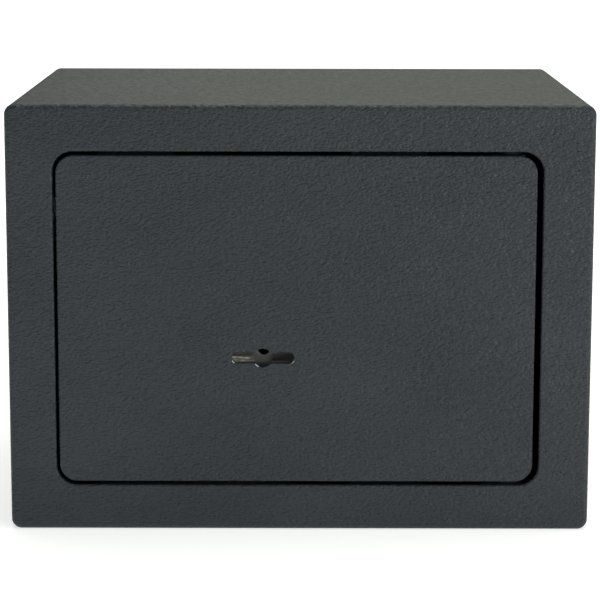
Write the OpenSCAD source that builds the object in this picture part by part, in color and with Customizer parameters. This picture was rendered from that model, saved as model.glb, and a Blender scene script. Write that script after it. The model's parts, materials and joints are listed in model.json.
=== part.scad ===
// Small key-lock safe: welded steel cabinet, flush door on hidden pivots, five-lever lock
// with a double-bit keyway, and two round bolts on one carriage.
// The frame has +X to the right, -Y out of the front, +Z up and its origin at the middle of the base.

/* [Cabinet] */
// Outer width of the cabinet
cabinet_w = 230; // [215:1:300]
// Outer depth of the cabinet
cabinet_d = 170; // [140:1:300]
// Outer height of the cabinet
cabinet_h = 170; // [165:1:260]
// Thickness of the wrapped sheet and of the back panel
sheet_t = 1.2; // [1:0.1:2]
// Outer radius of the wrap's four bends
corner_r = 4; // [2.2:0.1:4.5]
// Outer radius of the back panel's two upright bends
back_r = 4; // [3:0.5:8]
// Thickness of the front frame, which is also the radius of its outer edges
frame_t = 2; // [1.6:0.1:2.2]
// Diameter of the fixing holes in the back and the floor
fixing_d = 10; // [8:0.5:12]
// Distance between the two holes of each fixing pair
fixing_spacing = 120; // [80:5:160]
// Height of the fixing holes in the back panel
back_fixing_z = 110; // [90:5:140]
// Thickness of the floor mat
mat_t = 2; // [1:0.5:3]

/* [Door] */
// Width of the door opening
opening_w = 191.4; // [185:0.2:196]
// Height of the door opening
opening_h = 133.5; // [130:0.5:136]
// How far the opening's middle lies right of the cabinet's middle
opening_x = -0.8; // [-1.5:0.1:0.5]
// Corner radius of the door opening
opening_r = 8; // [6:0.5:10]
// Gap at the lock side of the door
gap_lock = 1.2; // [1:0.1:1.5]
// Gap at the hinge side of the door
gap_hinge = 2.4; // [2.2:0.1:2.8]
// Gap above and below the door
gap_z = 1.5; // [1.2:0.1:1.8]
// Thickness of the door plate
door_t = 3; // [2.5:0.5:4]
// Depth of the cover on the back of the door
cover_depth = 24; // [24:0.5:30]
// Thickness of the cover's sheet
cover_t = 1; // [0.8:0.1:1.2]

/* [Hinge] */
// Distance from the door's hinge edge in to the pivot
pivot_inset = 10; // [9.5:0.1:10.5]
// Distance from the door's front face back to the pivot
pivot_depth = 8; // [7.5:0.1:8.5]
// Diameter of the hinge pins
pin_d = 6; // [5:0.5:7]
// Thickness of the hinge brackets and the hinge tabs
hinge_t = 3; // [2.5:0.5:3.5]

/* [Keyway] */
// Place of the key's axis across the door
key_x = -14.5; // [-18:0.5:-10]
// Height of the key's axis
key_z = 70; // [68:0.5:72]
// Width of the keyhole
key_slot_w = 24.5; // [24:0.1:25]
// Height of the keyhole
key_slot_h = 4.4; // [4.2:0.1:4.8]
// Diameter of the keyhole's round middle
key_hub_d = 7.4; // [7:0.1:8]
// Diameter of the hole in the lock's cap that steadies the key's tip
key_tip_d = 5; // [4:0.5:6]

/* [Lock] */
// Angle that each lever drops from the height at which its gate lets the stump pass
lever_drop = [3, 4.5, 2.5, 4, 3.5];
// Angle that every lever can be lifted past that height
over_lift = 1.5; // [1:0.1:1.5]
// Thickness of each lever
lever_t = 1.5; // [1.2:0.1:1.5]
// Gap between neighbouring levers
lever_gap = 0.3; // [0.2:0.05:0.3]
// Travel of the bolts
throw = 11; // [9:0.5:11]
// Diameter of the locking bolts
bolt_d = 12; // [10:0.5:12]
// Height between the two locking bolts
bolt_spread = 60; // [56:1:64]

/* [Hidden] */
$fn = 48;

// Colours of the finishes
paint = [0.23, 0.25, 0.26];
zinc = [0.72, 0.73, 0.72];
brass = [0.78, 0.66, 0.38];
spring_steel = [0.55, 0.57, 0.6];
felt = [0.1, 0.1, 0.11];
nylon = [0.05, 0.05, 0.05];

// Clearances: a turning or sliding fit, a screw in its thread, and a free edge
running_gap = 0.05;
thread_gap = 0.05;
free_gap = 0.4;

// Main planes, from the front to the back and from the floor to the top
front_y = -cabinet_d / 2;
back_y = cabinet_d / 2;
frame_back_y = front_y + frame_t;
door_back_y = front_y + door_t;
mid_z = cabinet_h / 2;
inner_x = cabinet_w / 2 - sheet_t;
seam_y = back_y - back_r;
opening_left = opening_x - opening_w / 2;
opening_right = opening_x + opening_w / 2;
opening_top = mid_z + opening_h / 2;
door_left = opening_left + gap_lock;
door_right = opening_right - gap_hinge;
door_top = opening_top - gap_z;
door_r = opening_r - 1;

// Hinge: the brackets lie outside the door's height, so the hinge edge can swing in behind the frame
pivot_x = door_right - pivot_inset;
pivot_y = front_y + pivot_depth;
pin_r = pin_d / 2;
bracket_w = 26;
bracket_depth = 15;
bracket_leg = 10;
bracket_leg_t = 2;
bracket_shift = 3;
tab_left = 8;
tab_right = 4;
tab_leg = 20;
tab_leg_t = 2;
tab_round_r = 6;
pin_reach = 6;
pin_head_r = 3.9;
pin_head_h = 1.5;
washer_r = 5;
washer_gap = 0.1;

// Lock case, in the door's back, with the levers stacked from its front
case_t = 1.5;
case_in_y = door_back_y + case_t;
lever_pitch = lever_t + lever_gap;
lever_count = len(lever_drop);
lock_bolt_t = 3;
lock_bolt_y = case_in_y + lever_count * lever_pitch + lever_gap;
cap_y = lock_bolt_y + lock_bolt_t + 0.7;
case_left = key_x - 43.5;
case_right = key_x + 39;
case_low = key_z - 22;
case_high = key_z + 28;
ear_size = 10;
ear_x = [case_left - case_t + ear_size / 2, case_right + case_t - ear_size / 2];
ear_z = [case_low - case_t - ear_size / 2, case_high + case_t + ear_size / 2];

// Levers: they turn on the post at their right end and their gates are at the left
post_x = key_x + 22;
post_z = key_z + 15;
post_r = 3;
key_sweep_r = key_slot_w / 2 + 0.65;
shank_way_r = 4.2;
shank_way_drop = 1.2;
entry_low = 3.3;
entry_right = 1.7;
lever_swing = 2;
belly_h = 9;
lever_left = key_x - 39.5;
lever_right = key_x + 30;
lever_low = key_z - 19;
lever_top = key_z + 20;
lever_corner_r = 3;
lever_eye_r = 7;
stump_x = key_x - 22.4;
stump_size = 4;
stump_root = 0.5;
gate_gap = 0.35;
pocket_gap = 0.9;
spring_t = 0.5;
spring_start = key_x + 4;
spring_foot = 6;
spring_run = 18;
spring_rise = 4;
spring_inset = 0.1;
pillar_x = case_right - 4;
pillar_z = case_low + 4;
pillar_r = 3;
cap_screw_r = 1.5;
cap_hole_r = 1.6;
cap_thread_depth = 6;
cap_screw_reach = 5;
cap_head_r = 2.8;
cap_head_h = 1.8;
cap_slot_depth = 0.8;
cap_slot_half = 0.4;
key_way_side = 3;
stop_ledge_left = key_x - 32;
stop_ledge_right = key_x - 14;
ledge_gap = 0.1;

// Bolt carriage, drawn back as the key leaves it when the door is unlocked
bolt_r = bolt_d / 2;
bolt_y = lock_bolt_y + lock_bolt_t / 2;
bolt_z = [post_z - bolt_spread / 2, post_z + bolt_spread / 2];
bolt_tip_x = door_left + 1.3;
bolt_tip_chamfer = 1.5;
bar_left = -68;
bar_t = 3;
bar_w = 14.6;
bar_margin = 9;
bar_screw_r = 2.5;
bar_hole_r = 2.6;
bar_thread_depth = 12;
bar_screw_reach = 10;
bar_screw_head_r = 4.2;
bar_screw_head_h = 3.2;
bar_slot_depth = 1.2;
bar_slot_half = 0.6;
tail_h = 12;
tail_end = 5;
tail_foot_t = 2;
tail_rivet_offset = 5;
rivet_r = 1.6;
rivet_hole_r = 1.65;
rivet_head_r = 2.3;
rivet_head_h = 1;
key_notch_w = 6;
key_notch_gap = 0.2;
guide_x = -84;
guide_t = 2;
guide_depth = 22;
guide_flange = 12;
guide_margin = 13;

// Strike plate, behind the left side of the frame
strike_x = opening_left - 3;
strike_t = 2;
strike_depth = 23;
strike_leg = 10;
strike_leg_t = 1.5;
strike_h = bolt_spread + 34;
strike_window = bolt_d + 3;

// Floor mat: how far it lies from the front, from the bends, and round the fixing holes
mat_front = 27;
mat_margin = 0.2;
mat_hole_margin = 6;

// Door stops
stop_x = [-80, 20];
stop_w = 30;
stop_t = 1.5;
stop_depth = 12;
stop_foot = 11;
stop_foot_gap = 0.8;
stop_lap = 2.5;
stop_door_gap = 0.5;

// Back cover of the door
cover_left = -90;
cover_right = 70;
cover_h = 102;
cover_flange = 8;
cover_stud_x = [-60, 50];
cover_stud_z = [mid_z - cover_h / 2 - 4, mid_z + cover_h / 2 + 4];

// M4 studs and nuts
m4_r = 2;
m4_hole_r = 2.3;
lock_stud_l = 7;
cover_stud_l = 6;
nut_r = 4.04;
nut_h = 3.2;

// A box between two corners
module block(low, high) {
    translate(low) cube(high - low);
}

// An outline drawn in X and Z, extruded from y0 to y1
module plate(y0, y1) {
    translate([0, y1, 0]) rotate([90, 0, 0]) linear_extrude(y1 - y0) children();
}

// A cylinder along Y, from y0 to y1
module rod_y(x, z, r, y0, y1) {
    translate([x, y1, z]) rotate([90, 0, 0]) cylinder(r = r, h = y1 - y0);
}

// A cylinder along X, from x0 to x1
module rod_x(y, z, r, x0, x1) {
    translate([x0, y, z]) rotate([0, 90, 0]) cylinder(r = r, h = x1 - x0);
}

// A rectangle between two corners, with round corners
module round_rect(low, high, r) {
    translate([low[0] + r, low[1]]) square([high[0] - low[0] - 2 * r, high[1] - low[1]]);
    translate([low[0], low[1] + r]) square([high[0] - low[0], high[1] - low[1] - 2 * r]);
    for (x = [low[0] + r, high[0] - r], z = [low[1] + r, high[1] - r]) {
        translate([x, z]) circle(r);
    }
}

// The cabinet's outline, drawn in by a margin
module cabinet_outline(margin, r) {
    low = [-cabinet_w / 2 + margin, margin];
    high = [cabinet_w / 2 - margin, cabinet_h - margin];
    round_rect(low, high, r);
}

// The keyhole's outline: a slot with round ends and a round middle
module keyhole_outline() {
    end = key_slot_w / 2 - key_slot_h / 2;
    translate([key_x - end, key_z - key_slot_h / 2]) square([2 * end, key_slot_h]);
    for (side = [-1, 1]) {
        translate([key_x + side * end, key_z]) circle(key_slot_h / 2);
    }
    translate([key_x, key_z]) circle(key_hub_d / 2);
}

// Repeats a piece of the top of the cabinet at its bottom
module at_bottom() {
    translate([0, 0, cabinet_h]) mirror([0, 0, 1]) children();
}

// A hexagon nut along Y, that sits on the plane y0
module nut_y(x, z, y0) {
    difference() {
        translate([x, y0 + nut_h, z]) rotate([90, 0, 0]) cylinder(r = nut_r, h = nut_h, $fn = 6);
        rod_y(x, z, m4_r + thread_gap, y0 - 1, y0 + nut_h + 1);
    }
}

// Cabinet

module body_wrap() {
    color(paint) difference() {
        plate(frame_back_y, seam_y) cabinet_outline(0, corner_r);
        plate(frame_back_y - 1, seam_y + 1) cabinet_outline(sheet_t, corner_r - sheet_t);
        for (side = [-1, 1]) {
            translate([side * fixing_spacing / 2, 0, -1]) cylinder(d = fixing_d, h = sheet_t + 2);
        }
    }
}

// A section of the frame from low to high, with its two front corners rounded
module frame_section(low, high) {
    r = frame_t;
    translate([low + r, 0]) square([high - low - 2 * r, r]);
    intersection() {
        translate([low, 0]) square([high - low, r]);
        for (x = [low + r, high - r]) {
            translate([x, r]) circle(r);
        }
    }
}

// The frame's plate with round outer edges, where its sections across and up meet
module front_frame_blank() {
    half = cabinet_w / 2;
    intersection() {
        translate([0, front_y, 0]) linear_extrude(cabinet_h) frame_section(-half, half);
        translate([-half, front_y, 0]) rotate([90, 0, 90]) linear_extrude(cabinet_w) {
            rotate(90) mirror([0, 1]) frame_section(0, cabinet_h);
        }
        plate(front_y, frame_back_y) cabinet_outline(0, corner_r);
    }
}

module front_frame() {
    low = [opening_left, mid_z - opening_h / 2];
    high = [opening_right, opening_top];
    color(paint) difference() {
        front_frame_blank();
        plate(front_y - 1, frame_back_y + 1) round_rect(low, high, opening_r);
    }
}

// The back panel's outline seen from above, drawn in by a margin, with its rear corners
// round and its sides run on past the seam by a lead
module back_section(margin, lead) {
    r = back_r - margin;
    half = cabinet_w / 2 - margin;
    if (lead > 0) {
        translate([-half, -lead]) square([2 * half, lead]);
    }
    translate([r - half, 0]) square([2 * (half - r), r]);
    intersection() {
        translate([-half, 0]) square([2 * half, r]);
        for (side = [-1, 1]) {
            translate([side * (half - r), 0]) circle(r);
        }
    }
}

// The back panel's shape: upright bends that meet the run of the wrap's four bends
module back_blank(margin, lead) {
    intersection() {
        translate([0, seam_y, 0]) linear_extrude(cabinet_h) back_section(margin, lead);
        plate(seam_y - lead, back_y) cabinet_outline(margin, corner_r - margin);
    }
}

module back_panel() {
    color(paint) difference() {
        back_blank(0, 0);
        back_blank(sheet_t, 1);
        for (side = [-1, 1]) {
            rod_y(side * fixing_spacing / 2, back_fixing_z, fixing_d / 2, back_y - 3, back_y + 1);
        }
    }
}

module strike_plate() {
    low_z = mid_z - strike_h / 2;
    high_z = mid_z + strike_h / 2;
    half = strike_window / 2;
    left = strike_x - strike_leg;
    right = strike_x + strike_t;
    color(paint) difference() {
        union() {
            block([strike_x, frame_back_y, low_z], [right, frame_back_y + strike_depth, high_z]);
            block([left, frame_back_y, low_z], [strike_x, frame_back_y + strike_leg_t, high_z]);
        }
        for (z = bolt_z) {
            block([strike_x - 1, bolt_y - half, z - half], [right + 1, bolt_y + half, z + half]);
        }
    }
}

// Two straps that are welded behind the frame, pass the gap well behind it, and come
// forward again to meet the back of the door plate
module door_stop() {
    foot_low = opening_top + stop_foot_gap;
    foot_high = opening_top + stop_foot;
    lip_low = door_top - stop_lap;
    lip_y = door_back_y + stop_door_gap;
    rear_y = frame_back_y + stop_depth;
    for (x = stop_x) {
        block([x, frame_back_y, foot_low], [x + stop_w, frame_back_y + stop_t, foot_high]);
        block([x, frame_back_y, foot_low], [x + stop_w, rear_y, foot_low + stop_t]);
        block([x, rear_y - stop_t, lip_low], [x + stop_w, rear_y, foot_low + stop_t]);
        block([x, lip_y, lip_low], [x + stop_w, rear_y, lip_low + stop_t]);
    }
}

module door_stops() {
    color(paint) door_stop();
    color(paint) at_bottom() door_stop();
}

module hinge_bracket() {
    left = pivot_x - bracket_w / 2 + bracket_shift;
    right = left + bracket_w;
    low = opening_top;
    difference() {
        union() {
            block([left, frame_back_y, low], [right, frame_back_y + bracket_depth, low + hinge_t]);
            block([left, frame_back_y, low], [right, frame_back_y + bracket_leg_t, low + bracket_leg]);
        }
        translate([pivot_x, pivot_y, low - 1]) cylinder(r = pin_r + thread_gap, h = hinge_t + 2);
    }
}

module hinge_bracket_top() {
    color(paint) hinge_bracket();
}

module hinge_bracket_bottom() {
    color(paint) at_bottom() hinge_bracket();
}

module hinge_pin() {
    low = door_top - hinge_t - pin_reach;
    translate([pivot_x, pivot_y, low]) cylinder(r = pin_r, h = opening_top + hinge_t - low);
    translate([pivot_x, pivot_y, opening_top + hinge_t]) cylinder(r = pin_head_r, h = pin_head_h);
}

module hinge_pin_top() {
    color(zinc) hinge_pin();
}

module hinge_pin_bottom() {
    color(zinc) at_bottom() hinge_pin();
}

module hinge_washer() {
    difference() {
        translate([pivot_x, pivot_y, door_top + washer_gap]) cylinder(r = washer_r, h = gap_z - washer_gap);
        translate([pivot_x, pivot_y, door_top - 1]) cylinder(r = pin_r + thread_gap, h = gap_z + 2);
    }
}

module hinge_washers() {
    color(nylon) hinge_washer();
    color(nylon) at_bottom() hinge_washer();
}

module floor_mat() {
    margin = corner_r - sheet_t + mat_margin;
    hole_d = fixing_d + mat_hole_margin;
    color(felt) difference() {
        block(
            [-inner_x + margin, front_y + mat_front, sheet_t],
            [inner_x - margin, seam_y - mat_margin, sheet_t + mat_t]
        );
        for (side = [-1, 1]) {
            translate([side * fixing_spacing / 2, 0, 0]) cylinder(d = hole_d, h = sheet_t + mat_t + 1);
        }
    }
}

// Door

module door_plate() {
    color(paint) difference() {
        plate(front_y, door_back_y) {
            round_rect([door_left, cabinet_h - door_top], [door_right, door_top], door_r);
        }
        plate(front_y - 1, door_back_y + 1) keyhole_outline();
    }
}

module hinge_tab() {
    left = pivot_x - tab_left;
    right = pivot_x + tab_right;
    low = door_top - hinge_t;
    difference() {
        union() {
            block([left, door_back_y, low], [right, pivot_y, door_top]);
            intersection() {
                translate([pivot_x, pivot_y, low]) cylinder(r = tab_round_r, h = hinge_t);
                block([left, door_back_y, low - 1], [right + tab_left, pivot_y + tab_left, door_top + 1]);
            }
            block([left, door_back_y, door_top - tab_leg], [right, door_back_y + tab_leg_t, door_top]);
        }
        translate([pivot_x, pivot_y, low - 1]) cylinder(r = pin_r + running_gap, h = hinge_t + 2);
    }
}

module hinge_tab_top() {
    color(paint) hinge_tab();
}

module hinge_tab_bottom() {
    color(paint) at_bottom() hinge_tab();
}

module bolt_guide() {
    low_z = bolt_z[0] - guide_margin;
    high_z = bolt_z[1] + guide_margin;
    color(zinc) difference() {
        union() {
            block([guide_x, door_back_y, low_z], [guide_x + guide_t, door_back_y + guide_depth, high_z]);
            block([guide_x, door_back_y, low_z], [guide_x + guide_flange, door_back_y + guide_t, high_z]);
        }
        for (z = bolt_z) {
            rod_x(bolt_y, z, bolt_r + running_gap, guide_x - 1, guide_x + guide_t + 1);
        }
    }
}

// Lock

module lock_case() {
    outer_low = [case_left - case_t, door_back_y, case_low - case_t];
    outer_high = [case_right + case_t, cap_y, case_high + case_t];
    color(zinc) difference() {
        union() {
            difference() {
                block(outer_low, outer_high);
                block([case_left, case_in_y, case_low], [case_right, cap_y + 1, case_high]);
            }
            for (x = ear_x, z = ear_z) {
                block(
                    [x - ear_size / 2, door_back_y, z - ear_size / 2],
                    [x + ear_size / 2, case_in_y, z + ear_size / 2]
                );
            }
        }
        plate(door_back_y - 1, case_in_y + 1) keyhole_outline();
        for (x = ear_x, z = ear_z) {
            rod_y(x, z, m4_hole_r, door_back_y - 1, case_in_y + 1);
        }
        block(
            [outer_low[0] - 1, lock_bolt_y - free_gap, post_z - tail_h / 2 - free_gap],
            [case_left + 1, cap_y + 1, post_z + tail_h / 2 + free_gap]
        );
    }
}

module lock_cap() {
    color(zinc) difference() {
        block(
            [case_left - case_t, cap_y, case_low - case_t],
            [case_right + case_t, cap_y + case_t, case_high + case_t]
        );
        rod_y(key_x, key_z, key_tip_d / 2, cap_y - 1, cap_y + case_t + 1);
        rod_y(post_x, post_z, cap_hole_r, cap_y - 1, cap_y + case_t + 1);
        rod_y(pillar_x, pillar_z, cap_hole_r, cap_y - 1, cap_y + case_t + 1);
    }
}

// A pillar across the case, tapped at the cap's end
module tapped_pillar(x, z, r) {
    difference() {
        rod_y(x, z, r, case_in_y, cap_y);
        rod_y(x, z, cap_screw_r, cap_y - cap_thread_depth, cap_y + 1);
    }
}

module cap_pillar() {
    color(zinc) tapped_pillar(pillar_x, pillar_z, pillar_r);
}

module lever_post() {
    color(zinc) tapped_pillar(post_x, post_z, post_r);
}

module cap_screw(x, z) {
    head_y = cap_y + case_t;
    end_y = head_y + cap_head_h;
    slot = [cap_head_r + 1, cap_slot_depth, cap_slot_half];
    rod_y(x, z, cap_screw_r - thread_gap, cap_y - cap_screw_reach, head_y);
    difference() {
        rod_y(x, z, cap_head_r, head_y, end_y);
        block([x - slot[0], end_y - slot[1], z - slot[2]], [x + slot[0], end_y + 1, z + slot[2]]);
    }
}

module cap_screws() {
    color(zinc) cap_screw(post_x, post_z);
    color(zinc) cap_screw(pillar_x, pillar_z);
}

// The ledge that the dropped levers lie on
module lever_stop() {
    color(zinc) block(
        [stop_ledge_left, case_in_y, case_low],
        [stop_ledge_right, lock_bolt_y - lever_gap, lever_low - ledge_gap]
    );
}

module lock_studs() {
    color(zinc) for (x = ear_x, z = ear_z) {
        rod_y(x, z, m4_r, door_back_y, door_back_y + lock_stud_l);
    }
}

module lock_nuts() {
    color(zinc) for (x = ear_x, z = ear_z) {
        nut_y(x, z, case_in_y);
    }
}

// The key's way through a lever: the slot that it enters by, its shank, and the two
// quarters of a turn that its bits sweep, which are wider where lifting moves the lever
module lever_window() {
    reach = key_sweep_r;
    wide = reach + lever_swing;
    side = key_way_side;
    translate([key_x - reach, key_z - entry_low]) {
        square([2 * reach + entry_right, entry_low + key_slot_h / 2 + free_gap]);
    }
    translate([key_x, key_z - shank_way_drop]) circle(shank_way_r);
    intersection() {
        translate([key_x, key_z]) circle(reach);
        translate([key_x - reach, key_z]) square([reach + side, belly_h]);
    }
    intersection() {
        translate([key_x, key_z]) circle(wide);
        translate([key_x - side, key_z - wide]) square([side + wide, wide]);
    }
}

// The stump's way through a lever that has dropped by an angle: a pocket for each end of
// the bolt's travel and the gate between them
module lever_gate(drop) {
    half = stump_size / 2;
    for (x = [stump_x, stump_x - throw]) {
        // how far this end lies from the post decides how deep its pocket is
        arm = post_x - x;
        low = post_z - arm * (sin(drop) + sin(over_lift)) - half - gate_gap;
        high = post_z + half + gate_gap;
        translate([x - half - pocket_gap, low]) square([stump_size + 2 * pocket_gap, high - low]);
    }
    translate([post_x, post_z]) rotate(drop) translate([-post_x, -post_z]) {
        translate([stump_x - throw - half, post_z - half - gate_gap]) {
            square([throw + stump_size, stump_size + 2 * gate_gap]);
        }
    }
}

// A lever, drawn dropped and then lifted to the height at which its gate is open
module lever(number) {
    drop = lever_drop[number];
    y0 = case_in_y + lever_gap + number * lever_pitch;
    lifted(drop) plate(y0, y0 + lever_t) difference() {
        union() {
            round_rect([lever_left, lever_low], [lever_right, lever_top], lever_corner_r);
            translate([post_x, post_z]) circle(lever_eye_r);
        }
        translate([post_x, post_z]) circle(post_r + running_gap);
        lever_window();
        lever_gate(drop);
    }
}

// Turns a piece up about the lever post
module lifted(angle) {
    translate([post_x, 0, post_z]) rotate([0, angle, 0]) translate([-post_x, 0, -post_z]) children();
}

// A leaf spring: a foot that lies on the lever's top edge, and an arc that rises from it
module lever_spring(number) {
    y0 = case_in_y + lever_gap + number * lever_pitch;
    r = (pow(spring_run, 2) + pow(spring_rise, 2)) / (2 * spring_rise);
    lifted(lever_drop[number]) plate(y0 + spring_inset, y0 + lever_t - spring_inset) {
        translate([spring_start, lever_top]) square([spring_foot, spring_t]);
        intersection() {
            translate([spring_start, lever_top + r]) difference() {
                circle(r, $fn = 96);
                circle(r - spring_t, $fn = 96);
            }
            translate([spring_start - spring_run, lever_top]) square([spring_run, spring_rise]);
        }
    }
}

module lever_1() {
    color(brass) lever(0);
}

module lever_2() {
    color(brass) lever(1);
}

module lever_3() {
    color(brass) lever(2);
}

module lever_4() {
    color(brass) lever(3);
}

module lever_5() {
    color(brass) lever(4);
}

module lever_spring_1() {
    color(spring_steel) lever_spring(0);
}

module lever_spring_2() {
    color(spring_steel) lever_spring(1);
}

module lever_spring_3() {
    color(spring_steel) lever_spring(2);
}

module lever_spring_4() {
    color(spring_steel) lever_spring(3);
}

module lever_spring_5() {
    color(spring_steel) lever_spring(4);
}

// Bolt carriage

// The lock bolt: a flat bar with a slot for the lever post, a notch for the key's bit,
// the stump that passes the gates, and a foot that is riveted to the bolt bar
module lock_bolt() {
    low = post_z - tail_h / 2;
    high = post_z + tail_h / 2;
    right = post_x + throw + tail_end;
    half = stump_size / 2;
    notch_half = key_notch_w / 2;
    notch_h = key_z + key_sweep_r + key_notch_gap - low;
    slot_r = post_r + running_gap;
    foot_left = bar_left + bar_t;
    foot_y = bolt_y - bar_w / 2;
    color(zinc) union() {
        plate(lock_bolt_y, lock_bolt_y + lock_bolt_t) difference() {
            translate([foot_left, low]) square([right - foot_left, tail_h]);
            translate([post_x, post_z]) circle(slot_r);
            translate([post_x + throw, post_z]) circle(slot_r);
            translate([post_x, post_z - slot_r]) square([throw, 2 * slot_r]);
            translate([key_x - notch_half, low - 1]) square([key_notch_w, notch_h + 1]);
        }
        block(
            [stump_x - half, case_in_y + lever_gap, post_z - half],
            [stump_x + half, lock_bolt_y + stump_root, post_z + half]
        );
        difference() {
            block([foot_left, foot_y, low], [foot_left + tail_foot_t, foot_y + bar_w, high]);
            for (side = [-1, 1]) {
                rivet_y = bolt_y + side * tail_rivet_offset;
                rod_x(rivet_y, post_z, rivet_hole_r, foot_left - 1, foot_left + tail_foot_t + 1);
            }
        }
    }
}

module bolt_bar() {
    low = bolt_z[0] - bar_margin;
    high = bolt_z[1] + bar_margin;
    color(zinc) difference() {
        block([bar_left, bolt_y - bar_w / 2, low], [bar_left + bar_t, bolt_y + bar_w / 2, high]);
        for (z = bolt_z) {
            rod_x(bolt_y, z, bar_hole_r, bar_left - 1, bar_left + bar_t + 1);
        }
        for (side = [-1, 1]) {
            rivet_y = bolt_y + side * tail_rivet_offset;
            rod_x(rivet_y, post_z, rivet_hole_r, bar_left - 1, bar_left + bar_t + 1);
        }
    }
}

// A round bolt with a chamfered tip, tapped at its inner end
module locking_bolt(z) {
    length = bar_left - bolt_tip_x;
    difference() {
        translate([bolt_tip_x, bolt_y, z]) rotate([0, 90, 0]) union() {
            cylinder(r1 = bolt_r - bolt_tip_chamfer, r2 = bolt_r, h = bolt_tip_chamfer);
            translate([0, 0, bolt_tip_chamfer]) cylinder(r = bolt_r, h = length - bolt_tip_chamfer);
        }
        rod_x(bolt_y, z, bar_screw_r, bar_left - bar_thread_depth, bar_left + 1);
    }
}

module locking_bolts() {
    color(zinc) for (z = bolt_z) {
        locking_bolt(z);
    }
}

module bar_screw(z) {
    face = bar_left + bar_t;
    end = face + bar_screw_head_h;
    slot = [bar_slot_depth, bar_screw_head_r + 1, bar_slot_half];
    rod_x(bolt_y, z, bar_screw_r - thread_gap, bar_left - bar_screw_reach, face);
    difference() {
        rod_x(bolt_y, z, bar_screw_head_r, face, end);
        block([end - slot[0], bolt_y - slot[1], z - slot[2]], [end + 1, bolt_y + slot[1], z + slot[2]]);
    }
}

module bar_screws() {
    color(zinc) for (z = bolt_z) {
        bar_screw(z);
    }
}

module tail_rivet(y) {
    left = bar_left;
    right = bar_left + bar_t + tail_foot_t;
    rod_x(y, post_z, rivet_r, left, right);
    rod_x(y, post_z, rivet_head_r, left - rivet_head_h, left);
    rod_x(y, post_z, rivet_head_r, right, right + rivet_head_h);
}

module tail_rivets() {
    color(zinc) for (side = [-1, 1]) {
        tail_rivet(bolt_y + side * tail_rivet_offset);
    }
}

// Back cover

module door_back_cover() {
    low_z = mid_z - cover_h / 2;
    high_z = mid_z + cover_h / 2;
    rear_y = door_back_y + cover_depth;
    hole_r = bolt_r + 1;
    color(paint) difference() {
        union() {
            block([cover_left, door_back_y, low_z], [cover_right, rear_y, high_z]);
            block(
                [cover_left, door_back_y, low_z - cover_flange],
                [cover_right, door_back_y + cover_t, high_z + cover_flange]
            );
        }
        block(
            [cover_left + cover_t, door_back_y - 1, low_z + cover_t],
            [cover_right - cover_t, rear_y - cover_t, high_z - cover_t]
        );
        for (z = bolt_z) {
            rod_x(bolt_y, z, hole_r, cover_left - 1, cover_left + cover_t + 1);
        }
        for (x = cover_stud_x, z = cover_stud_z) {
            rod_y(x, z, m4_hole_r, door_back_y - 1, door_back_y + cover_t + 1);
        }
    }
}

module cover_studs() {
    color(zinc) for (x = cover_stud_x, z = cover_stud_z) {
        rod_y(x, z, m4_r, door_back_y, door_back_y + cover_stud_l);
    }
}

module cover_nuts() {
    color(zinc) for (x = cover_stud_x, z = cover_stud_z) {
        nut_y(x, z, door_back_y + cover_t);
    }
}

body_wrap();
front_frame();
back_panel();
strike_plate();
door_stops();
hinge_bracket_top();
hinge_bracket_bottom();
hinge_pin_top();
hinge_pin_bottom();
hinge_washers();
floor_mat();
door_plate();
hinge_tab_top();
hinge_tab_bottom();
bolt_guide();
lock_case();
lock_cap();
cap_screws();
cap_pillar();
lever_post();
lever_stop();
lock_studs();
lock_nuts();
door_back_cover();
cover_studs();
cover_nuts();
lock_bolt();
bolt_bar();
locking_bolts();
bar_screws();
tail_rivets();
lever_1();
lever_2();
lever_3();
lever_4();
lever_5();
lever_spring_1();
lever_spring_2();
lever_spring_3();
lever_spring_4();
lever_spring_5();
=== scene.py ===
"""The looks of the small key-lock safe: shells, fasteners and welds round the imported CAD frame.

Everything is in metres in the frame's own axes: +X to the right, -Y out of the door, +Z up.
"""

import json
from math import atan2, ceil, cos, hypot, pi, radians, sin, sqrt

import bmesh
import bpy
from mathutils import Matrix, Vector, noise


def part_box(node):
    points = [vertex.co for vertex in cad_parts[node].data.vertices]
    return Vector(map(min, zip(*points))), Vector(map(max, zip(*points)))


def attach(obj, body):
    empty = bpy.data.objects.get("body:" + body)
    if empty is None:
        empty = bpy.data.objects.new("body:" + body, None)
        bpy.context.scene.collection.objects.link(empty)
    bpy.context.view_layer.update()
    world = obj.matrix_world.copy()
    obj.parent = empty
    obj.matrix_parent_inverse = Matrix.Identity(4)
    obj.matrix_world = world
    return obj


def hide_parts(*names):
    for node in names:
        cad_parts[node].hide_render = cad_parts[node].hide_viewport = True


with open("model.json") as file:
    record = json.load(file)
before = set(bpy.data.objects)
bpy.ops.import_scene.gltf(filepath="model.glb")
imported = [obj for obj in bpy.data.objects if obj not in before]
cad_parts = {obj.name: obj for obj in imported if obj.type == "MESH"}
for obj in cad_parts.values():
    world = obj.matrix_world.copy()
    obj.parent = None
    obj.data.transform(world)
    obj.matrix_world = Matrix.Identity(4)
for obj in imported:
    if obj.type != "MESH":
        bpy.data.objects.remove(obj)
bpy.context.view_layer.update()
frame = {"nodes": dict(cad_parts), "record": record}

MM = 0.001

# Camera, as far from the safe and as high as the product view it matches
CAMERA_PLACE = (0.0, -0.9158, 0.2532)
CAMERA_PITCH = radians(9.3)
CAMERA_ROLL = radians(0.11)
CAMERA_LENS = 129.3
CAMERA_SHIFT = -0.1

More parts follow.
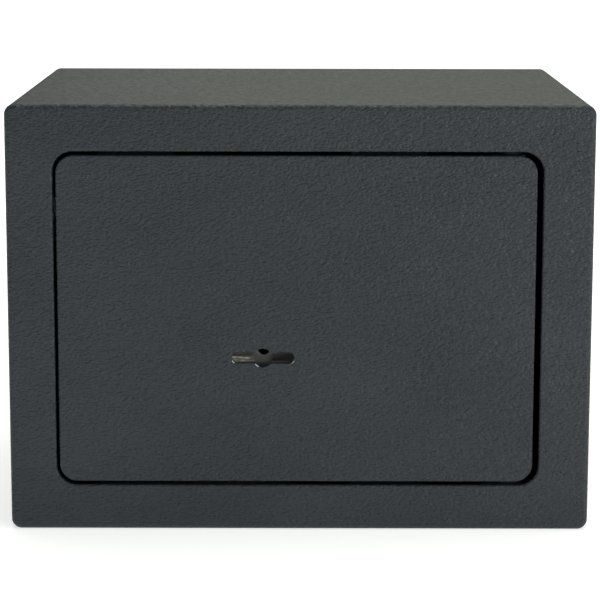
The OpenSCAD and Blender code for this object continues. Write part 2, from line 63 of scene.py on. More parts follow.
# Sizes of the sheet work, in metres
WRAP_CORNER = 4 * MM
FRAME_EDGE = 2 * MM
FRAME_LIP = 0.8 * MM
OPENING_CORNER = 8 * MM
DOOR_CORNER = 7 * MM
DOOR_EDGE = 0.7 * MM
SHEET_WRAP = 1.2 * MM
SHEET_COVER = 1 * MM
COVER_BEND = 1.6 * MM
MAT_GRID = 5 * MM

# Fasteners of one node that lie further apart than this are separate
FASTENER_GAP = 12 * MM

# M4 studs and nuts
STUD_R = 2 * MM
THREAD_PITCH = 0.7 * MM
THREAD_DEPTH = 0.35 * MM
THREAD_CHAMFER = 0.5 * MM
NUT_R = 4.04 * MM
NUT_HOLE_R = 2.05 * MM
NUT_CHAMFER = 0.3 * MM

# Welds: a bead's radius and ripple, how it keeps clear of an edge, and where the stops' and
# tabs' feet lie
BEAD_R = 1.1 * MM
SEAM_R = 0.9 * MM
BEAD_RIPPLE = 1.5 * MM
BEAD_CLEAR = 1.2 * MM
FOOT_REACH = 9.4 * MM

# Stitch welds round the front frame and the back panel: the lower or left end of each, and
# how far a stitch sits in from the two sheets it joins
STITCH_ENDS_Z = (30, 75, 120)
STITCH_ENDS_X = (-80, -10, 60)
STITCH_LENGTH = 20
STITCH_INSET = 0.2 * MM
STOP_EDGES = [-80 * MM, -50 * MM, 20 * MM, 50 * MM]
TAB_LEG_W = 12 * MM

# The keyhole
KEY_X = -14.5 * MM
KEY_Z = 70 * MM
KEY_SLOT_HALF_W = 12.25 * MM
KEY_SLOT_HALF_H = 2.2 * MM
KEY_HUB_R = 3.7 * MM
KEY_EDGE = 0.35 * MM

# Spots of bare steel on the keyhole's lip, from the key's axis: partly coat worn off by the key, partly
# painted highlights placed where the lip glints
WORN_HIGHLIGHT_SPOTS = [(-11.6 * MM, -1.9 * MM), (11.6 * MM, -1.9 * MM), (-3.4 * MM, -2.5 * MM), (-2.4 * MM, -3.3 * MM)]
WORN_HIGHLIGHT_R = 0.6 * MM


# Materials

def start_material(name):
    """An empty procedural material: the material, its shader, and functions that add and link nodes."""
    material = bpy.data.materials.new(name)
    material.use_nodes = True
    tree = material.node_tree
    shader = tree.nodes["Principled BSDF"]

    def add(kind, sockets=None, **settings):
        node = tree.nodes.new("ShaderNode" + kind)
        for key, value in settings.items():
            setattr(node, key, value)
        for key, value in (sockets or {}).items():
            if isinstance(value, bpy.types.NodeSocket):
                tree.links.new(value, node.inputs[key])
            else:
                node.inputs[key].default_value = value
        return node

    def link(source, target):
        tree.links.new(source, target)

    return material, shader, add, link


def ramp(add, source, stops):
    """A colour ramp over source, with stops of (place, colour)."""
    node = add("ValToRGB", {"Fac": source})
    elements = node.color_ramp.elements
    while len(elements) < len(stops):
        elements.new(0.5)
    for element, (place, colour) in zip(elements, stops):
        element.position = place
        element.color = (*colour, 1.0)
    return node.outputs["Color"]


def remap(add, source, low, high, start=0.0, end=1.0):
    """source, from start..end to low..high."""
    sockets = {"Value": source, "From Min": start, "From Max": end, "To Min": low, "To Max": high}
    return add("MapRange", sockets).outputs["Result"]


def stretched(add, scale):
    """Object coordinates, stretched by a scale along each axis."""
    place = add("TexCoord").outputs["Object"]
    return add("Mapping", {"Vector": place, "Scale": scale}).outputs["Vector"]


def powder_coat():
    """Dark grey powder coat with a fine wrinkle, a little duller where the coat is thin."""
    material, shader, add, link = start_material("powder_coat_grey")
    place = stretched(add, (0.72, 0.9, 1.2))
    wrinkle = add("TexNoise", {"Vector": place, "Scale": 880, "Detail": 2.5, "Roughness": 0.55})
    pebble = add("TexVoronoi", {"Vector": place, "Scale": 1050, "Smoothness": 0.7}, feature="SMOOTH_F1")
    broad = add("TexNoise", {"Vector": place, "Scale": 22, "Detail": 3, "Roughness": 0.6})
    flow = add("TexNoise", {"Vector": place, "Scale": 95, "Detail": 2, "Roughness": 0.5})
    peaks = remap(add, wrinkle.outputs["Fac"], 0.0, 1.3, 0.52, 0.78)
    sockets = {0: remap(add, pebble.outputs["Distance"], 0.8, 0.0, 0.0, 0.75), 1: peaks}
    crests = add("Math", sockets, operation="ADD").outputs[0]
    sockets = {0: wrinkle.outputs["Fac"], 1: 0.7, 2: crests}
    height = add("Math", sockets, operation="MULTIPLY_ADD").outputs[0]
    lifted = add("Math", {0: flow.outputs["Fac"], 1: 0.35, 2: height}, operation="MULTIPLY_ADD").outputs[0]
    bump = add("Bump", {"Height": lifted, "Strength": 1.0, "Distance": 0.00027})
    link(bump.outputs["Normal"], shader.inputs["Normal"])
    shade = add("Math", {0: broad.outputs["Fac"], 1: 0.55}, operation="MULTIPLY").outputs[0]
    shade = add("Math", {0: height, 1: 0.22, 2: shade}, operation="MULTIPLY_ADD").outputs[0]
    stops = [
        (0.25, (0.016, 0.0203, 0.024)), (0.5, (0.0225, 0.028, 0.0335)), (0.8, (0.034, 0.0405, 0.047)),
    ]
    colour = ramp(add, shade, stops)
    link(colour, shader.inputs["Base Color"])
    link(remap(add, wrinkle.outputs["Fac"], 0.32, 0.46, 0.3, 0.7), shader.inputs["Roughness"])
    shader.inputs["Specular IOR Level"].default_value = 0.3
    return material


def plated(name, dark, light, rough, grain, along=(1, 1, 1), bump_height=0.00002, grime=0.0):
    """Metal with a rolled grain, blotches of its plating, fine scratches and a share of dark grime."""
    material, shader, add, link = start_material(name)
    shader.inputs["Metallic"].default_value = 1.0
    sockets = {"Vector": stretched(add, (1, 1, 1)), "Scale": 70, "Detail": 4, "Roughness": 0.6}
    blotch = add("TexNoise", sockets)
    sockets = {"Vector": stretched(add, along), "Scale": grain, "Detail": 4, "Roughness": 0.65}
    rolled = add("TexNoise", sockets)
    speck = add("TexNoise", {"Vector": stretched(add, (1, 1, 1)), "Scale": 900, "Detail": 2})
    sockets = {0: rolled.outputs["Fac"], 1: 0.45, 2: blotch.outputs["Fac"]}
    mixed = add("Math", sockets, operation="MULTIPLY_ADD").outputs[0]
    colour = ramp(add, mixed, [(0.45, dark), (0.95, light)])
    if grime:
        smear = add("TexNoise", {"Vector": stretched(add, (1, 1, 1)), "Scale": 520, "Detail": 3})
        tone = remap(add, smear.outputs["Fac"], 1.0 - grime, 1.0, 0.38, 0.6)
        colour = add("VectorMath", {0: colour, "Scale": tone}, operation="SCALE").outputs["Vector"]
    link(colour, shader.inputs["Base Color"])
    sockets = {0: speck.outputs["Fac"], 1: 0.5, 2: rolled.outputs["Fac"]}
    rough_mix = add("Math", sockets, operation="MULTIPLY_ADD").outputs[0]
    link(remap(add, rough_mix, rough - 0.1, rough + 0.14, 0.45, 1.05), shader.inputs["Roughness"])
    bump = add("Bump", {"Height": rough_mix, "Strength": 0.5, "Distance": bump_height})
    link(bump.outputs["Normal"], shader.inputs["Normal"])
    return material


def moulded(name):
    """Matt black nylon with a faint mould texture."""
    material, shader, add, link = start_material(name)
    place = add("TexCoord").outputs["Object"]
    grain = add("TexNoise", {"Vector": place, "Scale": 1500, "Detail": 2})
    cloud = add("TexNoise", {"Vector": place, "Scale": 120, "Detail": 3})
    stops = [(0.3, (0.006, 0.006, 0.007)), (0.7, (0.011, 0.011, 0.012))]
    link(ramp(add, cloud.outputs["Fac"], stops), shader.inputs["Base Color"])
    link(remap(add, grain.outputs["Fac"], 0.65, 0.85), shader.inputs["Roughness"])
    shader.inputs["Specular IOR Level"].default_value = 0.15
    bump = add("Bump", {"Height": grain.outputs["Fac"], "Strength": 0.4, "Distance": 0.00005})
    link(bump.outputs["Normal"], shader.inputs["Normal"])
    return material


def felt():
    """Needled felt: matted fibres, a soft sheen and lighter lint."""
    material, shader, add, link = start_material("felt_black")
    place = add("TexCoord").outputs["Object"]
    mat = add("TexNoise", {"Vector": place, "Scale": 1300, "Detail": 3, "Distortion": 1.6})
    clump = add("TexNoise", {"Vector": place, "Scale": 180, "Detail": 4, "Roughness": 0.7})
    sockets = {0: clump.outputs["Fac"], 1: 0.6, 2: mat.outputs["Fac"]}
    mixed = add("Math", sockets, operation="MULTIPLY_ADD").outputs[0]
    stops = [(0.55, (0.012, 0.012, 0.013)), (0.85, (0.03, 0.03, 0.033)), (1.0, (0.06, 0.06, 0.065))]
    link(ramp(add, mixed, stops), shader.inputs["Base Color"])
    link(remap(add, mat.outputs["Fac"], 0.85, 1.0), shader.inputs["Roughness"])
    bump = add("Bump", {"Height": mixed, "Strength": 1.0, "Distance": 0.0003})
    link(bump.outputs["Normal"], shader.inputs["Normal"])
    shader.inputs["Sheen Weight"].default_value = 0.35
    shader.inputs["Sheen Roughness"].default_value = 0.5
    shader.inputs["Specular IOR Level"].default_value = 0.2
    return material


def studio_floor():
    """A pale floor that glows with its own painted light, none under the safe and brighter further out, so it
    stays near white under the lights.
    """
    material, shader, add, link = start_material("floor_pale")
    place = add("TexCoord").outputs["Object"]
    cloud = add("TexNoise", {"Vector": place, "Scale": 3, "Detail": 4})
    stops = [(0.3, (0.83, 0.83, 0.83)), (0.7, (0.87, 0.87, 0.87))]
    link(ramp(add, cloud.outputs["Fac"], stops), shader.inputs["Base Color"])
    link(remap(add, cloud.outputs["Fac"], 0.7, 0.85), shader.inputs["Roughness"])
    grit = add("TexNoise", {"Vector": place, "Scale": 500, "Detail": 2})
    bump = add("Bump", {"Height": grit.outputs["Fac"], "Strength": 0.1, "Distance": 0.0002})
    link(bump.outputs["Normal"], shader.inputs["Normal"])
    # Painted light: the floor glows, not at all under the safe, then brighter with distance from it
    shader.inputs["Emission Color"].default_value = (1.0, 1.0, 1.0, 1.0)
    reach = add("VectorMath", {0: place}, operation="LENGTH").outputs["Value"]
    glow = remap(add, reach, 0.6, 1.0, 0.25, 0.9)
    uncovered = remap(add, reach, 0.0, 1.0, 0.062, 0.085)
    strength = add("Math", {0: glow, 1: uncovered}, operation="MULTIPLY").outputs[0]
    link(strength, shader.inputs["Emission Strength"])
    return material


MATERIALS = {
    "powder_coat": powder_coat(),
    "zinc_plate": plated("zinc_plated_steel", (0.42, 0.42, 0.40), (0.66, 0.66, 0.63), 0.36, 120, (1, 1, 9)),
    "brass": plated("lever_brass", (0.46, 0.45, 0.38), (0.72, 0.70, 0.60), 0.42, 160, (1, 5, 2), grime=0.55),
    "spring_steel": plated("blued_spring_steel", (0.16, 0.17, 0.20), (0.34, 0.36, 0.40), 0.3, 200, (6, 1, 1)),
    "nylon": moulded("nylon_black"),
    "felt": felt(),
}


# Bare steel for the keyhole's spots, which are partly worn coat and partly painted highlights on its lip
WORN_STEEL_HIGHLIGHT = plated("worn_steel_highlight", (0.3, 0.3, 0.3), (0.6, 0.6, 0.59), 0.5, 300)


# Mesh helpers

def rounded_rect(low, high, radius, steps=10):
    """Points (x, z) of a rectangle with round corners, anticlockwise seen from the front."""
    points = []
    corners = [
        (high[0] - radius, high[1] - radius), (low[0] + radius, high[1] - radius),
        (low[0] + radius, low[1] + radius), (high[0] - radius, low[1] + radius),
    ]
    for quarter, (x, z) in enumerate(corners):
        for step in range(steps + 1):
            angle = (quarter + step / steps) * pi / 2
            points.append((x + radius * cos(angle), z + radius * sin(angle)))
    return points


def keyhole(grow, steps=12):
    """Points (x, z) of the keyhole's outline, grown by a margin: a round-ended slot and a hub."""
    half_h, hub = KEY_SLOT_HALF_H + grow, KEY_HUB_R + grow
    end_x = KEY_SLOT_HALF_W - KEY_SLOT_HALF_H
    turn = atan2(half_h, sqrt(hub * hub - half_h * half_h))
    arcs = [
        (end_x, half_h, -pi / 2, pi / 2), (0, hub, turn, pi - turn),
        (-end_x, half_h, pi / 2, 3 * pi / 2), (0, hub, pi + turn, 2 * pi - turn),
    ]
    points = []
    for centre, radius, start, end in arcs:
        for step in range(steps + 1):
            angle = start + (end - start) * step / steps
            points.append((KEY_X + centre + radius * cos(angle), KEY_Z + radius * sin(angle)))
    return points


def ring(bm, points, y):
    """Vertices along an outline in X and Z at one y."""
    return [bm.verts.new((x, y, z)) for x, z in points]


def bands(bm, rings, closed=False):
    """Quads between each ring and the next."""
    pairs = list(zip(rings, rings[1:]))
    if closed:
        pairs.append((rings[-1], rings[0]))
    for a, b in pairs:
        for i in range(len(a)):
            j = (i + 1) % len(a)
            bm.faces.new((a[i], a[j], b[j], b[i]))


def fill(bm, *rings):
    """A flat face between an outer ring and the rings of its holes."""
    edges = []
    for loop in rings:
        for i in range(len(loop)):
            edges.append(bm.edges.get((loop[i], loop[(i + 1) % len(loop)])))
    bmesh.ops.triangle_fill(bm, use_beauty=True, edges=edges)


def quarter(radius, steps=5):
    """(inward, forward) offsets round a quarter of an edge radius, from its side to its face."""
    return [(radius * (1 - cos(a)), radius * sin(a)) for a in (pi / 2 * i / steps for i in range(steps + 1))]


def make_object(name, bm, material, sharp=40):
    """An object from a bmesh, smooth except at edges sharper than an angle, with its flat faces kept flat."""
    bmesh.ops.recalc_face_normals(bm, faces=bm.faces)
    for face in bm.faces:
        face.smooth = True
    mesh = bpy.data.meshes.new(name)
    bm.to_mesh(mesh)
    bm.free()
    mesh.set_sharp_from_angle(angle=radians(sharp))
    mesh.materials.append(material)
    piece = bpy.data.objects.new(name, mesh)
    bpy.context.scene.collection.objects.link(piece)
    flat = piece.modifiers.new("flat faces stay flat", "WEIGHTED_NORMAL")
    flat.keep_sharp = True
    return piece


def add_piece(name, bm, slot, body, *replaced, sharp=40):
    """Adds a piece that rides on a CAD body and stands for the CAD nodes that it replaces."""
    piece = make_object(name, bm, MATERIALS[slot], sharp)
    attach(piece, body)
    if replaced:
        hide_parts(*replaced)
    return piece


def copy_of_node(node, flat=1):
    """A clean bmesh of a CAD node: doubles welded and faces flat to an angle made whole."""
    bm = bmesh.new()
    bm.from_mesh(frame["nodes"][node].data)
    bmesh.ops.remove_doubles(bm, verts=bm.verts, dist=1e-6)
    bmesh.ops.dissolve_limit(bm, angle_limit=radians(flat), verts=bm.verts, edges=bm.edges)
    return bm


def round_edges(bm, wanted, radius, segments=3):
    """Rounds the sharp edges that wanted(edge, middle) picks."""
    chosen = []
    for edge in bm.edges:
        middle = (edge.verts[0].co + edge.verts[1].co) / 2
        if len(edge.link_faces) == 2 and edge.calc_face_angle() > radians(30) and wanted(edge, middle):
            chosen.append(edge)
    bmesh.ops.bevel(
        bm, geom=chosen, offset=radius, offset_type="OFFSET", segments=segments, profile=0.5,
        affect="EDGES", clamp_overlap=True,
    )


# Cabinet

def opening_of(node, margin):
    """Corners of a framed node's opening: the box of its vertices a margin inside its outline."""
    low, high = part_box(node)
    inner = [
        v.co for v in frame["nodes"][node].data.vertices
        if low.x + margin < v.co.x < high.x - margin and low.z + margin < v.co.z < high.z - margin
    ]
    xs, zs = [co.x for co in inner], [co.z for co in inner]
    return (min(xs), min(zs)), (max(xs), max(zs))


def build_front_frame():
    """The front frame: outer edges rolled back all round and a small round lip at the opening."""
    low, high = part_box("front_frame")
    opening_low, opening_high = opening_of("front_frame", 8 * MM)

    def outer(inset):
        corners = (low.x + inset, low.z + inset), (high.x - inset, high.z - inset)
        return rounded_rect(*corners, WRAP_CORNER - inset)

    def inner(outset):
        start = opening_low[0] - outset, opening_low[1] - outset
        end = opening_high[0] + outset, opening_high[1] + outset
        return rounded_rect(start, end, OPENING_CORNER + outset)

    bm = bmesh.new()
    rings = [ring(bm, outer(inward), high.y - forward) for inward, forward in quarter(FRAME_EDGE, 8)]
    for inward, forward in reversed(quarter(FRAME_LIP, 4)):
        rings.append(ring(bm, inner(inward), low.y + FRAME_LIP - forward))
    rings.append(ring(bm, inner(0), high.y))
    bands(bm, rings, closed=True)
    add_piece("front_frame_shell", bm, "powder_coat", "cabinet", "front_frame")


def build_back_panel():
    """The drawn back panel, with the edges of its two fixing holes dressed."""
    low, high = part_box("back_panel")
    bm = copy_of_node("back_panel", 0.3)

    def at_hole(edge, middle):
        at_face = min(abs(middle.y - high.y), abs(middle.y - high.y + SHEET_WRAP)) < 0.05 * MM
        return at_face and edge.calc_length() < 3 * MM and abs(middle.x) < high.x - 20 * MM

    round_edges(bm, at_hole, 0.3 * MM, 2)
    add_piece("back_sheet", bm, "powder_coat", "cabinet", "back_panel", sharp=50)


def build_wrap():
    """The wrapped sheet, with the edges of its fixing holes dressed."""
    low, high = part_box("body_wrap")
    bm = copy_of_node("body_wrap")
    inside_x, inside_y = high.x - 20 * MM, 40 * MM

    def at_hole(edge, middle):
        return abs(middle.x) < inside_x and abs(middle.y) < inside_y and middle.z < 5 * MM

    round_edges(bm, at_hole, 0.3 * MM, 2)
    add_piece("wrap_sheet", bm, "powder_coat", "cabinet", "body_wrap", sharp=50)


# Door

def build_door_plate():
    """The door's plate: round edges, and a keyhole whose rim is dressed and coated, with bare-steel spots on
    its lip that are partly wear and partly painted highlights.
    """
    low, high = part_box("door_plate")

    def outer(inset):
        corners = (low.x + inset, low.z + inset), (high.x - inset, high.z - inset)
        return rounded_rect(*corners, DOOR_CORNER - inset)

    bm = bmesh.new()
    rim = [ring(bm, outer(0.3 * MM), high.y), ring(bm, outer(0), high.y - 0.3 * MM)]
    rim += [ring(bm, outer(inward), low.y + DOOR_EDGE - forward) for inward, forward in quarter(DOOR_EDGE)]
    bands(bm, rim)
    hole = [ring(bm, keyhole(0), high.y)]
    for inward, forward in quarter(KEY_EDGE, 4):
        hole.append(ring(bm, keyhole(inward), low.y + KEY_EDGE - forward))
    bands(bm, hole)
    # Lip faces near the listed spots take the bare steel: worn coat and painted highlights
    for face in bm.faces:
        middle = face.calc_center_median()
        at_lip = middle.y < low.y + 2 * KEY_EDGE
        near = (hypot(middle.x - KEY_X - x, middle.z - KEY_Z - z) < WORN_HIGHLIGHT_R for x, z in WORN_HIGHLIGHT_SPOTS)
        if at_lip and any(near):
            face.material_index = 1
    fill(bm, rim[-1], hole[-1])
    fill(bm, rim[0], hole[0])
    skin = add_piece("door_skin", bm, "powder_coat", "door", "door_plate")
    skin.data.materials.append(WORN_STEEL_HIGHLIGHT)


def build_back_cover():
    """The door's back cover: one folded sheet with round bends."""
    low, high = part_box("door_back_cover")
    bm = copy_of_node("door_back_cover")
    wall_low_z = min(v.co.z for v in bm.verts if v.co.y > high.y - 2 * MM and v.co.z < 80 * MM)
    wall_high_z = max(v.co.z for v in bm.verts if v.co.y > high.y - 2 * MM)
    near = 0.05 * MM

    def at_outer_bend(edge, middle):
        if edge.calc_length() < 15 * MM:
            return False
        at_rear = abs(middle.y - high.y) < near
        at_side = abs(middle.x - low.x) < near or abs(middle.x - high.x) < near
        at_end = abs(middle.z - wall_low_z) < near or abs(middle.z - wall_high_z) < near
        return at_rear or (at_side and at_end)

    round_edges(bm, at_outer_bend, COVER_BEND, 5)

    def at_inner_bend(edge, middle):
        return edge.calc_length() > 15 * MM and abs(middle.y - high.y + SHEET_COVER) < near

    round_edges(bm, at_inner_bend, COVER_BEND - SHEET_COVER, 3)
    add_piece("cover_sheet", bm, "powder_coat", "door", "door_back_cover", sharp=35)


# Fasteners

def islands(node):
    """The centres (x, z) and the Y range of a node's separate pieces, that all lie along Y."""
    vertices = [v.co for v in frame["nodes"][node].data.vertices]
    pieces = []
    for co in vertices:
        for piece in pieces:
            if hypot(co.x - piece[0].x, co.z - piece[0].z) < FASTENER_GAP:
                piece.append(co)
                break
        else:
            pieces.append([co])
    found = []
    for piece in pieces:
        xs, ys, zs = ([co[axis] for co in piece] for axis in range(3))
        found.append(((min(xs) + max(xs)) / 2, (min(zs) + max(zs)) / 2, min(ys), max(ys)))
    return found


def add_thread(bm, x, z, start, end):
    """An M4 stud along Y with a rolled thread and a chamfered end."""
    around, per_turn = 20, 6
    rows = ceil((end - start) / THREAD_PITCH * per_turn)
    rings = []
    for row in range(rows + 1):
        y = start + (end - start) * row / rows
        taper = max(0.0, THREAD_CHAMFER - (end - y))
        loop = []
        for step in range(around):
            turn = step / around
            phase = ((y - start) / THREAD_PITCH - turn) % 1.0
            radius = STUD_R - THREAD_DEPTH * abs(2 * phase - 1) - taper
            loop.append(bm.verts.new((x + radius * cos(2 * pi * turn), y, z + radius * sin(2 * pi * turn))))
        rings.append(loop)
    bands(bm, rings)
    bm.faces.new(rings[0])
    bm.faces.new(rings[-1])


def add_nut(bm, x, z, start, end):
    """A hexagon nut along Y, with its corners chamfered to a cone at both faces."""
    around = 60
    flat = NUT_R * cos(pi / 6)
    cone = [0.0, 0.08, 0.16, 0.26, 0.38, 0.5]
    depths = [start + d * MM for d in cone] + [end - d * MM for d in reversed(cone)]
    turns = [2 * pi * i / around for i in range(around)]
    bore = [(x + NUT_HOLE_R * cos(a), z + NUT_HOLE_R * sin(a)) for a in turns]
    bore_end = ring(bm, bore, end - NUT_CHAMFER)
    bore_start = ring(bm, bore, start + NUT_CHAMFER)
    rim = NUT_HOLE_R + NUT_CHAMFER
    loops = []
    for index, y in enumerate([start] + depths + [end]):
        loops.append([])
        inside = index in (0, len(depths) + 1)
        for angle in turns:
            hexagon = flat / cos((angle % (pi / 3)) - pi / 6)
            cone_r = flat * 0.97 + min(y - start, end - y) * sqrt(3)
            radius = rim if inside else min(hexagon, cone_r)
            loops[index].append(bm.verts.new((x + radius * cos(angle), y, z + radius * sin(angle))))
    bands(bm, [bore_start] + loops + [bore_end], closed=True)


def build_fasteners():
    """Rolled-thread studs and chamfered nuts, in place of plain rods and prisms."""
    for studs, nuts in (("lock_studs", "lock_nuts"), ("cover_studs", "cover_nuts")):
        bm = bmesh.new()
        for x, z, start, end in islands(studs):
            add_thread(bm, x, z, start, end)
        add_piece(studs + "_threaded", bm, "zinc_plate", "door", studs, sharp=25)
        bm = bmesh.new()
        for x, z, start, end in islands(nuts):
            add_nut(bm, x, z, start, end)
        add_piece(nuts + "_chamfered", bm, "zinc_plate", "door", nuts, sharp=22)


# Welds

def add_bead(bm, start, end, radius, seed):
    """A weld bead between two points: a rippled, slightly uneven run with round ends."""
    start, end = Vector(start), Vector(end)
    along = end - start
    length = along.length
    along.normalize()
    side = along.orthogonal().normalized()
    up = along.cross(side)
    rows, around = max(10, ceil(length / (0.35 * MM))), 10
    rings = []
    for row in range(rows + 1):
        reach = length * row / rows
        ripple = 1 + 0.13 * abs(((reach / BEAD_RIPPLE) % 1.0) * 2 - 1)
        wander = noise.noise(Vector((reach * 220, seed * 7.3, 0)))
        rest = min(reach, length - reach)
        cap = sqrt(max(0.04, 1 - (1 - min(1.0, rest / radius)) ** 2))
        size = radius * 0.85 * ripple * cap * (1 + 0.12 * wander)
        centre = start + along * reach
        loop = []
        for step in range(around):
            angle = 2 * pi * step / around
            loop.append(bm.verts.new(centre + (side * cos(angle) + up * sin(angle)) * size))
        rings.append(loop)
    bands(bm, rings)
    bm.faces.new(rings[0])
    bm.faces.new(rings[-1])


def add_side_beads(bm, node, y, low_z, high_z, radius, seed):
    """Beads up both side edges of a node's foot, where it meets the sheet at y."""
    low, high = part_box(node)
    for index, x in enumerate((low.x, high.x)):
        add_bead(bm, (x, y, low_z), (x, y, high_z), radius, seed + index)


def build_welds():
    """The beads on the cabinet's brackets, strike plate, stops and panels, and inside the door."""
    wrap_low, wrap_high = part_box("body_wrap")
    frame_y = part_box("front_frame")[1].y
    back_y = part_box("back_panel")[0].y
    inside = wrap_high.x - SHEET_WRAP
    floor_z, roof_z = wrap_low.z + SHEET_WRAP, wrap_high.z - SHEET_WRAP
    bm = bmesh.new()
    for seed, node in enumerate(("hinge_bracket_top", "hinge_bracket_bottom")):
        low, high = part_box(node)
        add_side_beads(bm, node, frame_y, low.z + BEAD_CLEAR, high.z - BEAD_CLEAR, BEAD_R, 3 * seed)
    low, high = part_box("strike_plate")
    for start in (low.z + 4 * MM, (low.z + high.z) / 2 - 9 * MM, high.z - 22 * MM):
        add_bead(bm, (low.x, frame_y, start), (low.x, frame_y, start + 18 * MM), BEAD_R, start * 1000)
    low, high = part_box("door_stops")
    for x in STOP_EDGES:
        upper = high.z - FOOT_REACH, high.z - BEAD_CLEAR
        lower = low.z + BEAD_CLEAR, low.z + FOOT_REACH
        for start, end in (upper, lower):
            add_bead(bm, (x, frame_y, start), (x, frame_y, end), BEAD_R, x * 1000 + start * 300)
    for y, inward in ((frame_y, 1), (back_y, -1)):
        for side in (-1, 1):
            for z in STITCH_ENDS_Z:
                place = side * (inside - STITCH_INSET), y + inward * STITCH_INSET
                start, end = (*place, z * MM), (*place, (z + STITCH_LENGTH) * MM)
                add_bead(bm, start, end, SEAM_R, side + z + y * 100)
        for z, inset in ((floor_z, 1), (roof_z, -1)):
            for x in STITCH_ENDS_X:
                line = y + inward * STITCH_INSET, z + inset * STITCH_INSET
                start, end = (x * MM, *line), ((x + STITCH_LENGTH) * MM, *line)
                add_bead(bm, start, end, SEAM_R, x + z * 90 + y)
    add_piece("cabinet_welds", bm, "powder_coat", "cabinet", sharp=60)
    bm = bmesh.new()
    door_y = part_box("door_plate")[1].y
    for seed, node in enumerate(("hinge_tab_top", "hinge_tab_bottom")):
        low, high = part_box(node)
        for index, x in enumerate((low.x, low.x + TAB_LEG_W)):
            start, end = low.z + 4 * MM, high.z - 4 * MM
            add_bead(bm, (x, door_y, start), (x, door_y, end), BEAD_R, 40 + 3 * seed + index)
    low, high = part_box("bolt_guide")
    for start in (low.z + 4 * MM, (low.z + high.z) / 2 - 5 * MM, high.z - 14 * MM):
        add_bead(bm, (high.x, door_y, start), (high.x, door_y, start + 10 * MM), BEAD_R, start * 900)
    add_piece("door_welds", bm, "powder_coat", "door", sharp=60)


# Floor mat

def build_floor_mat():
    """The felt mat, which lies a little unevenly and is pressed thin at its cut edges."""
    low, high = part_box("floor_mat")
    bm = copy_of_node("floor_mat")
    for axis in (0, 1):
        cuts = ceil((high[axis] - low[axis]) / MAT_GRID)
        normal = Vector((1, 0, 0)) if axis == 0 else Vector((0, 1, 0))
        for cut in range(1, cuts):
            place = Vector(low)
            place[axis] = low[axis] + (high[axis] - low[axis]) * cut / cuts
            parts = list(bm.verts) + list(bm.edges) + list(bm.faces)
            bmesh.ops.bisect_plane(bm, geom=parts, dist=1e-7, plane_co=place, plane_no=normal)
    top = [v for v in bm.verts if v.co.z > high.z - 0.1 * MM]
    rims = {v for v in top if any(abs(v.co[a] - end) < 1e-5 for a in (0, 1) for end in (low[a], high[a]))}
    for v in top:
        wave = noise.noise(v.co * 28) * 0.5 + noise.noise(v.co * 90) * 0.5
        v.co.z += (-0.22 + 0.35 * wave) * MM - (0.35 * MM if v in rims else 0)
    add_piece("felt_mat", bm, "felt", "cabinet", "floor_mat", sharp=40)


def finish_cad_nodes():
    """Gives each CAD node that still shows its material and dressed edges."""
    widths = {
        "lock_case": 0.45, "lock_cap": 0.35, "bolt_guide": 0.5, "strike_plate": 0.5,
        "locking_bolts": 0.3, "bolt_bar": 0.4, "lock_bolt": 0.35,
        "hinge_pin_top": 0.35, "hinge_pin_bottom": 0.35,
        "cap_screws": 0.2, "bar_screws": 0.3, "tail_rivets": 0.3, "hinge_washers": 0.15,
    }
    slots = {row["node"]: row["material_slot"] for row in frame["record"]["subparts"]}
    for name, node in frame["nodes"].items():
        if node.hide_render:
            continue
        node.data.materials[0] = MATERIALS[slots[name]]
        weld = node.modifiers.new("weld", "WELD")
        weld.merge_threshold = 1e-5
        flat = node.modifiers.new("whole faces", "DECIMATE")
        flat.decimate_type = "DISSOLVE"
        flat.angle_limit = radians(1)
        edge = node.modifiers.new("dressed edges", "BEVEL")
        edge.width = widths.get(name, 0.15 if name.startswith("lever") else 0.3) * MM
        edge.segments = 2
        edge.limit_method = "ANGLE"
        edge.angle_limit = radians(30)
        edge.harden_normals = True


# Stage, lights and camera

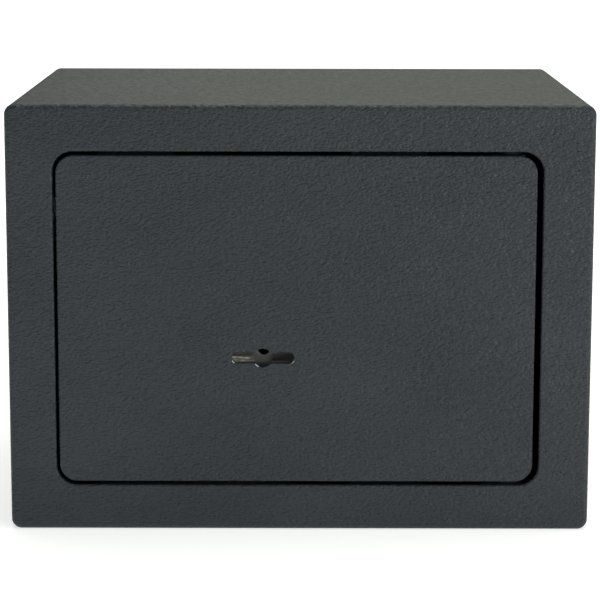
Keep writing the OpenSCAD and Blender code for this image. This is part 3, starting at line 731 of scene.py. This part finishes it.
def build_floor():
    """A wide round floor."""
    bm = bmesh.new()
    bmesh.ops.create_circle(bm, cap_ends=True, segments=96, radius=7)
    mesh = bpy.data.meshes.new("floor")
    bm.to_mesh(mesh)
    bm.free()
    mesh.materials.append(studio_floor())
    floor = bpy.data.objects.new("floor", mesh)
    bpy.context.scene.collection.objects.link(floor)


def soft_light(name, place, target, size, power, colour=(1, 1, 1)):
    """A rectangular soft light that faces a target."""
    light = bpy.data.lights.new(name, "AREA")
    light.shape = "RECTANGLE"
    light.size, light.size_y = size
    light.energy = power
    light.color = colour
    lamp = bpy.data.objects.new(name, light)
    bpy.context.scene.collection.objects.link(lamp)
    lamp.location = place
    lamp.rotation_euler = (Vector(target) - Vector(place)).to_track_quat("-Z", "Y").to_euler()


def build_studio():
    """Soft studio light from overhead, from behind and from the front right, and a low even sky."""
    middle = (0, 0, 0.085)
    soft_light("overhead", (0.2, 0.25, 1.3), middle, (1.6, 1.2), 12.2, (0.97, 1.0, 0.80))
    soft_light("behind", (0.5, 1.5, 0.75), middle, (1.8, 0.5), 1.4, (0.97, 1.0, 0.75))
    soft_light("key_right", (0.77, -1.5, 0.45), middle, (0.22, 0.22), 6.6, (0.98, 0.99, 1.0))
    soft_light("edge_right", (0.62, -0.42, 0.25), middle, (0.12, 0.3), 0.8)
    world = bpy.data.worlds.new("studio")
    world.use_nodes = True
    background = world.node_tree.nodes["Background"]
    background.inputs["Color"].default_value = (0.93, 0.98, 1, 1)
    background.inputs["Strength"].default_value = 0.262
    bpy.context.scene.world = world
    bpy.context.scene.view_settings.view_transform = "Standard"


def build_camera():
    """The camera, square to the front and a little above it."""
    camera = bpy.data.cameras.new("camera")
    camera.lens = CAMERA_LENS
    camera.sensor_width = 36
    camera.shift_y = CAMERA_SHIFT
    camera.clip_start = 0.01
    eye = bpy.data.objects.new("camera", camera)
    bpy.context.scene.collection.objects.link(eye)
    eye.location = CAMERA_PLACE
    turn = Matrix.Rotation(radians(90) - CAMERA_PITCH, 4, "X") @ Matrix.Rotation(CAMERA_ROLL, 4, "Z")
    eye.rotation_euler = turn.to_euler()
    bpy.context.scene.camera = eye


build_camera()
build_studio()
build_floor()
build_front_frame()
build_back_panel()
build_wrap()
build_door_plate()
build_back_cover()
build_fasteners()
build_welds()
build_floor_mat()
finish_cad_nodes()
